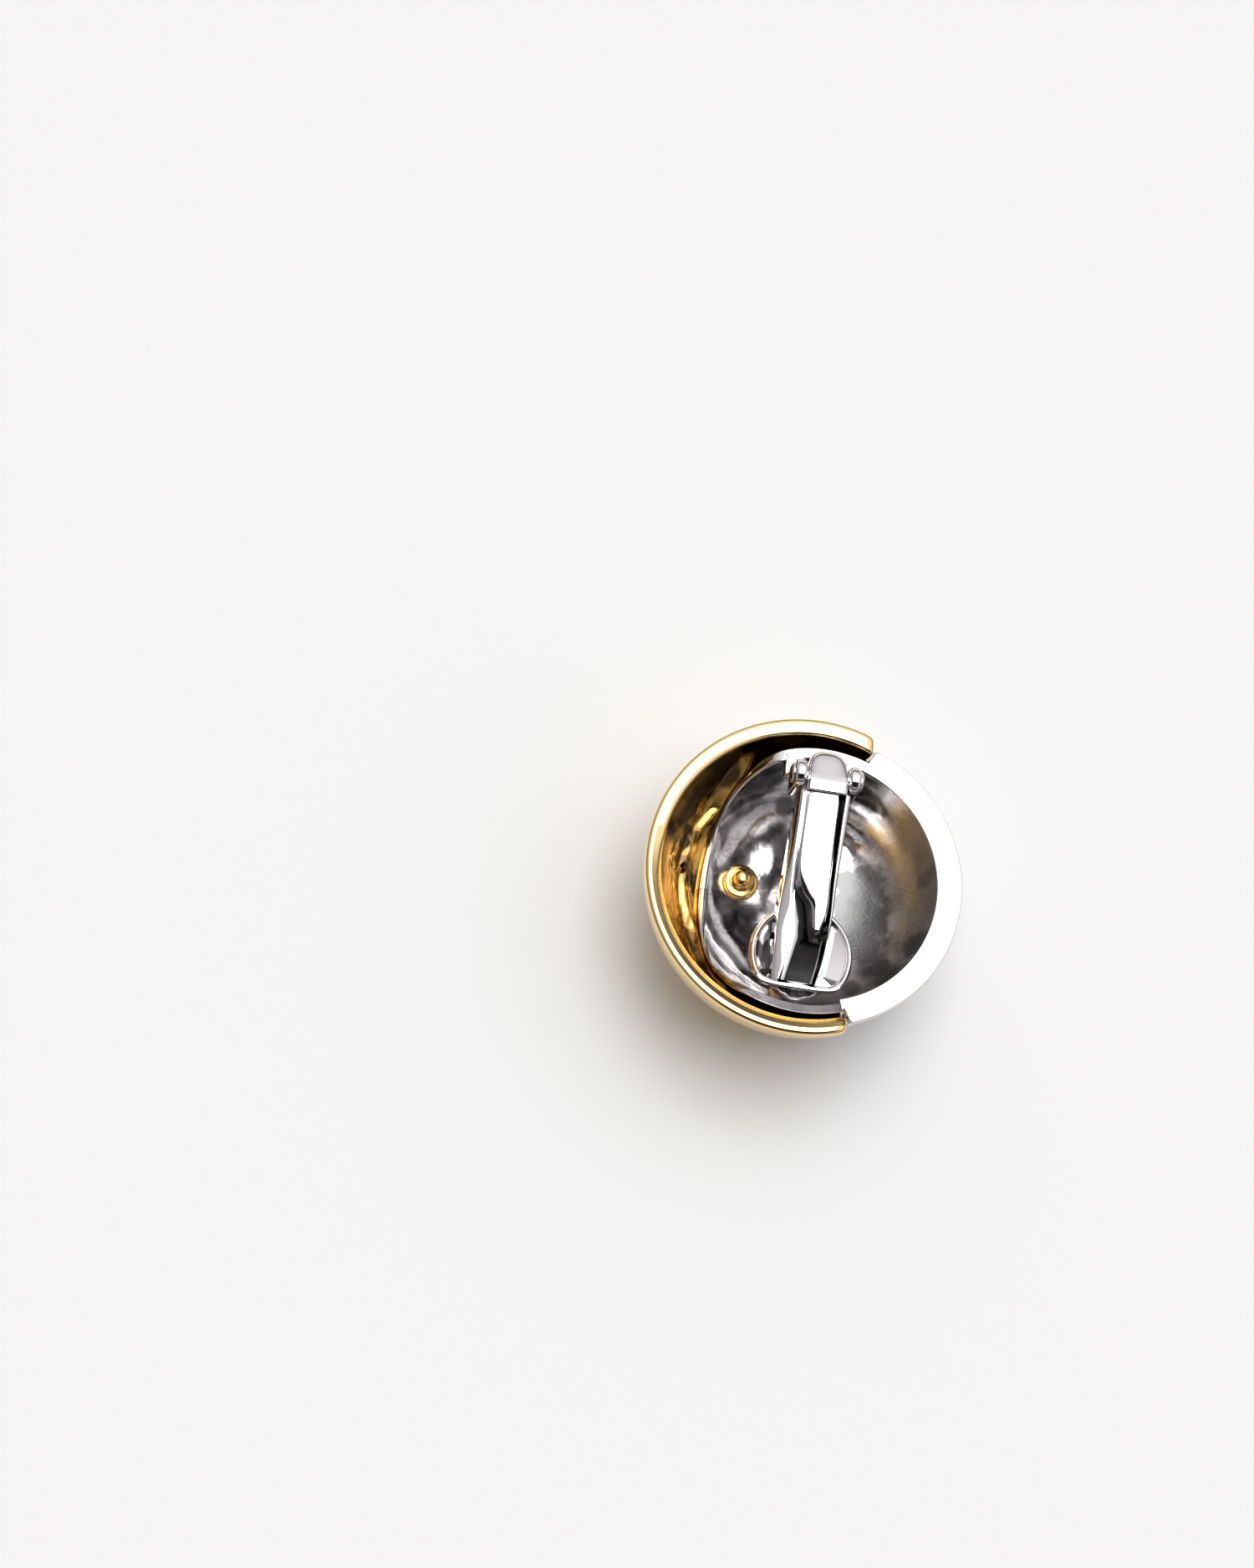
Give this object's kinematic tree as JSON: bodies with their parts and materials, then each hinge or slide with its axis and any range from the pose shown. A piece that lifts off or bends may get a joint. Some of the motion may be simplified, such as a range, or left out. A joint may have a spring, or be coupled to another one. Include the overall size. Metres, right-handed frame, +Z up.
{
  "type": "clip-on earring",
  "caption": "Two-tone dome clip-on earring lying on its dome: a gold shell wraps a silver bowl, and the open back holds a hinged clip lever over a cupped stop pad.",
  "frame": {"origin": "centre of the bounding box in plan, at the lowest point of the dome, where the piece rests", "axes": "+Z up out of the open back, +Y along the seam towards the hinge of the clip, +X across the seam towards the silver side"},
  "size_m": [0.0224, 0.0226, 0.0126],
  "materials": {
    "gold_plate": "polished",
    "silver_plate": "polished"
  },
  "bodies": {
    "shell": {"gold_shell": "gold_plate", "silver_shell": "silver_plate", "hinge_pin": "silver_plate"},
    "lever": {"clip_lever": "silver_plate"}
  },
  "joints": [
    {"name": "clip_hinge", "type": "hinge", "parent": "shell", "child": "lever", "pos_m": [0.00071, 0.007, 0.0116], "axis": [-1, 0, 0], "range_deg": [0, 85]}
  ]
}
